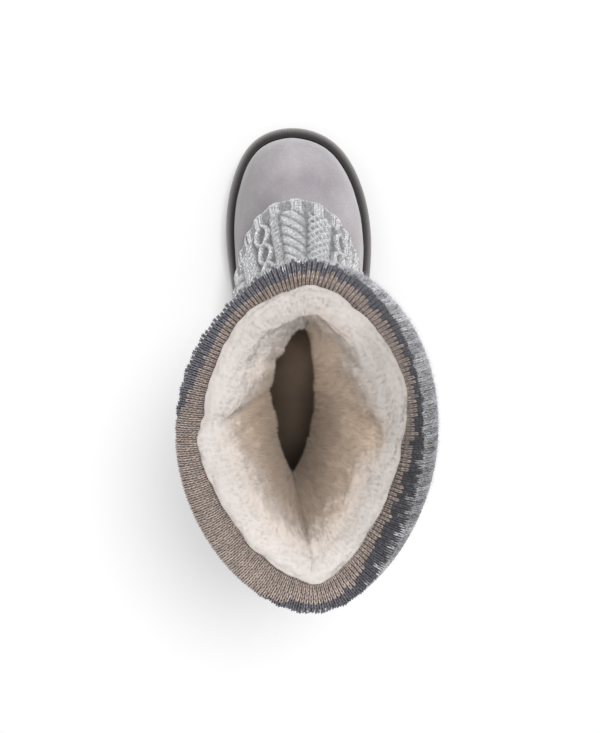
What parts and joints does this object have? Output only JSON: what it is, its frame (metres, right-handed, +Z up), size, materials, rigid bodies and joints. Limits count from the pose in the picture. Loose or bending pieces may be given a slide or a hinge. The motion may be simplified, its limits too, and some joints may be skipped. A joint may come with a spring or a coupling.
{
  "type": "fur-lined mukluk boot",
  "caption": "Right winter boot: suede foot, cable-knit leg with a rolled knitted cuff, deep-pile lining, corded welt and a lugged rubber sole.",
  "frame": {"origin": "middle of the heel's bearing face, on the floor", "axes": "+Z up, +Y towards the toe, +X towards the outer side of the foot"},
  "size_m": [0.1321, 0.2901, 0.2736],
  "materials": {
    "outsole": "matt",
    "welt_roll": "matt, corded",
    "insole": "smooth brown",
    "upper": "grey suede nap",
    "knit_leg": "light grey heather cable knit",
    "cuff": "taupe, charcoal and light grey knit",
    "fur_lining": "cream pile"
  },
  "bodies": {
    "root": {"outsole": "outsole", "welt_roll": "welt_roll", "insole": "insole", "upper": "upper", "knit_leg": "knit_leg", "cuff": "cuff", "fur_lining": "fur_lining"}
  },
  "joints": []
}
